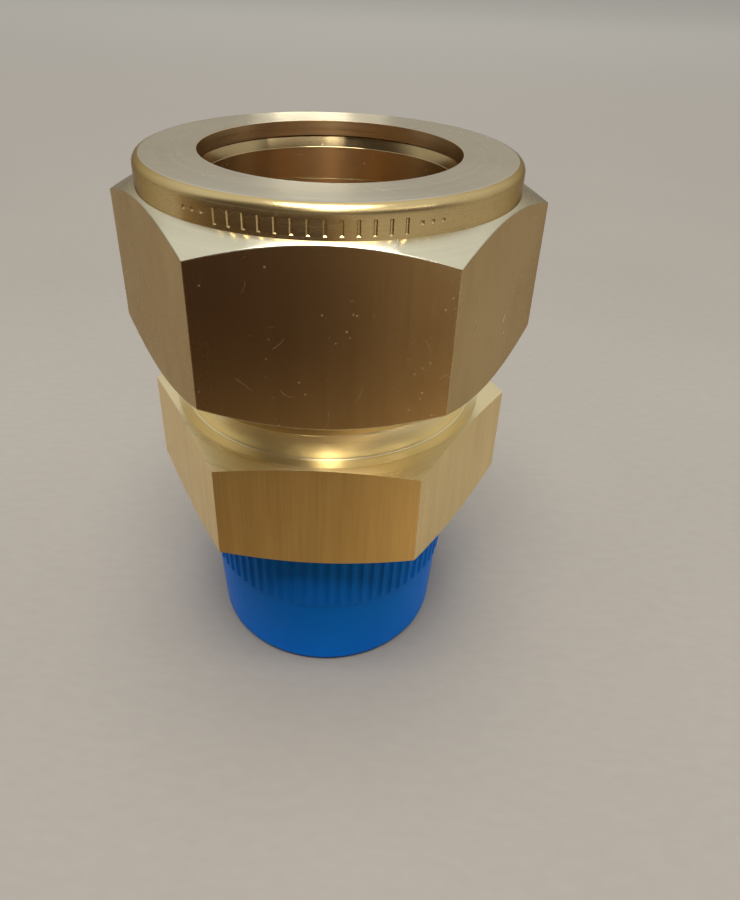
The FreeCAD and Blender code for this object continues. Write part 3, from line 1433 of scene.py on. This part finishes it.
@dataclass(frozen=True)
class Floor:
    """The plain pale board that the fitting stands on. Its colour is painted paler far away, a painted
    brightening where the lamps light the distant board less. Sizes are in metres.
    """

    near_colour: Colour = (0.374, 0.348, 0.317)
    # Painted light: the far colour brightens the distant board, where the lamps light it less.
    far_colour: Colour = (0.66, 0.64, 0.60)
    far_fade: Pair = (0.1, 1.1)
    detail_fade: Pair = (0.45, 0.03)
    cloud_share: float = 0.14
    fibre_share: float = 0.10
    level: float = 0.97
    roughness: float = 0.9
    half_size: float = 15.0

    def lay(self) -> None:
        """Lay the floor."""
        material, paint = new_material("pale_board")
        place = paint.place()
        _, away, _ = paint.parts(place)
        detail = (paint.layer(place, CLOUDS) - 0.5) * self.cloud_share
        detail = detail + (paint.layer(place, FIBRES) - 0.5) * self.fibre_share
        # Painted light: the board's colour grows paler towards the distance.
        plain = paint.mix(away.step(*self.far_fade), self.near_colour, self.far_colour)
        colour = paint.shaded(plain, detail * away.step(*self.detail_fade) + self.level)
        paint.coat({"Base Color": colour, "Roughness": self.roughness, "Specular IOR Level": 0.0})
        low = (-self.half_size, -self.half_size)
        add_sheet("floor", low, (self.half_size, self.half_size), 0.0, material)


@dataclass(frozen=True)
class Room:
    """The soft light of the room, paler towards the zenith and dim in front."""

    horizon: Colour = (0.47, 0.45, 0.41)
    zenith: Colour = (0.70, 0.70, 0.68)
    front: Colour = (0.07, 0.055, 0.045)
    zenith_fade: Pair = (0.0, 0.75)
    front_slope: float = 0.40
    front_fade: Pair = (-0.08, 0.35)

    def light(self) -> None:
        """Light the scene with the room."""
        world = bpy.data.worlds.new("soft_room")
        world.use_nodes = True
        bpy.context.scene.world = world
        paint = Painter(world.node_tree)
        _, away, height = paint.parts(paint.node("ShaderNodeTexCoord", output="Generated"))
        colour = paint.mix(height.step(*self.zenith_fade), self.horizon, self.zenith)
        in_front = (away * -1.0 - height * self.front_slope).step(*self.front_fade)
        colour = paint.mix(in_front, colour, self.front)
        shader = paint.node("ShaderNodeBackground", inputs={"Color": colour, "Strength": 1.0})
        paint.show(shader, "ShaderNodeOutputWorld")


@dataclass(frozen=True)
class Viewpoint:
    """The camera, at the photograph's viewing angle. Angles are in degrees and lengths in metres."""

    place: Place = (0.004946, -0.07233, 0.074193)
    pitch: float = 57.987
    roll: float = 2.440
    turn: float = 0.119
    lens: float = 28.854
    shift_y: float = -0.0512
    sensor_width: float = 36.0
    clip_start: float = 0.005

    def set_up(self) -> None:
        """Add the camera and look through it."""
        data = bpy.data.cameras.new("camera")
        data.sensor_width = self.sensor_width
        data.lens = self.lens
        data.shift_y = self.shift_y
        data.clip_start = self.clip_start
        camera = bpy.data.objects.new("camera", data)
        turn = Matrix.Rotation(math.radians(self.turn), 4, "Z")
        pitch = Matrix.Rotation(math.radians(self.pitch), 4, "X")
        roll = Matrix.Rotation(math.radians(self.roll), 4, "Z")
        camera.matrix_world = Matrix.Translation(self.place) @ turn @ pitch @ roll
        bpy.context.scene.collection.objects.link(camera)
        bpy.context.scene.camera = camera


def set_up_studio() -> None:
    """Lay the floor, light the room and set up the camera."""
    Floor().lay()
    # Painted shade: a glowing sheet that darkens the metal's reflections and the cap's bounce light in front.
    FloorShade().lay()
    Room().light()
    for lamp in LAMPS:
        lamp.hang()
    Viewpoint().set_up()
    bpy.context.scene.view_settings.view_transform = "Standard"


def main() -> None:
    """Build every piece, dress it and set up the studio."""
    logging.basicConfig(level=logging.INFO)
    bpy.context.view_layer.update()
    hand_over(ThreadCap().build(), "cap", "cap_plastic", "thread_cap")
    hand_over(ConnectorBody().build(), "connector", "body_brass", "connector_body")
    rings = FerruleSet()
    hand_over(rings.build("front_ring", rings.front_outline()), "ferrules", "ferrule_brass", "front_ferrule")
    hand_over(rings.build("back_ring", rings.back_outline()), "ferrules", "ferrule_brass", "back_ferrule")
    hand_over(TubeNut().build(), "nut", "nut_brass", "tube_nut")
    set_up_studio()


if __name__ == "__main__":
    main()
